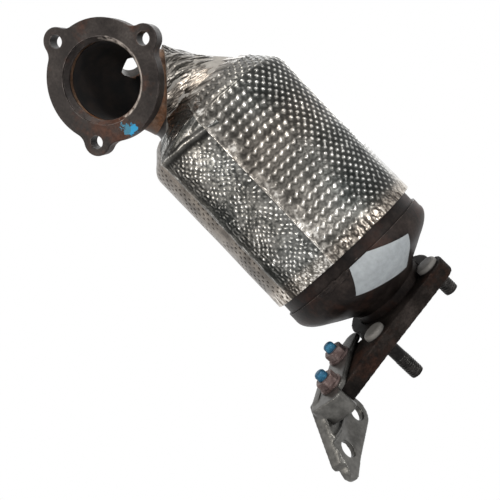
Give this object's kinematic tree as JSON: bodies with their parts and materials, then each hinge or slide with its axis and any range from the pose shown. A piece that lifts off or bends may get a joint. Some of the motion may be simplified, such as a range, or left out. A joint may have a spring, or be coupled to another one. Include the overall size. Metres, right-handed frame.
{
  "type": "catalytic converter",
  "caption": "Close-coupled exhaust catalytic converter: flanged inlet elbow, ceramic substrate in a steel can under an embossed foil heat shield, tilted outlet flange and cast support bracket.",
  "frame": {"origin": "centre of the inlet bore on the gasket face of the inlet flange", "axes": "-Y is the inlet's outward normal; +Z runs along the can from the outlet to the inlet, the longest way"},
  "size_m": [0.1405, 0.1629, 0.3528],
  "materials": {
    "rusty_steel": "rusty scale",
    "pipe_steel": "rust bloom",
    "shell_steel": "dull",
    "outlet_steel": "burnt oxide",
    "stud_steel": "dark oxide",
    "bracket_iron": "fine cast skin",
    "nut_steel": "worn plating",
    "shield_foil": "embossed foil",
    "fibre_mat": "needled fibre",
    "coated_ceramic": "matt washcoat",
    "steel_mesh": "knitted wire",
    "label_paper": "weathered"
  },
  "bodies": {
    "root": {"inlet_flange": "rusty_steel", "inlet_elbow": "pipe_steel", "sensor_boss": "shell_steel", "inlet_cone": "shell_steel", "can_shell": "shell_steel", "substrate": "coated_ceramic", "support_mat": "fibre_mat", "mat_seal_upper": "steel_mesh", "mat_seal_lower": "steel_mesh", "outlet_cone": "outlet_steel", "outlet_flange": "outlet_steel", "outlet_stud_near": "stud_steel", "outlet_stud_far": "stud_steel", "outlet_stud_rear": "stud_steel", "support_bracket": "bracket_iron", "bracket_stud_upper": "stud_steel", "bracket_stud_lower": "stud_steel", "bracket_nut_upper": "nut_steel", "bracket_nut_lower": "nut_steel", "shield_main": "shield_foil", "shield_lap_panel": "shield_foil", "shield_inlet_wrap": "shield_foil", "can_mat": "fibre_mat", "inlet_mat": "fibre_mat", "label": "label_paper"}
  },
  "joints": []
}
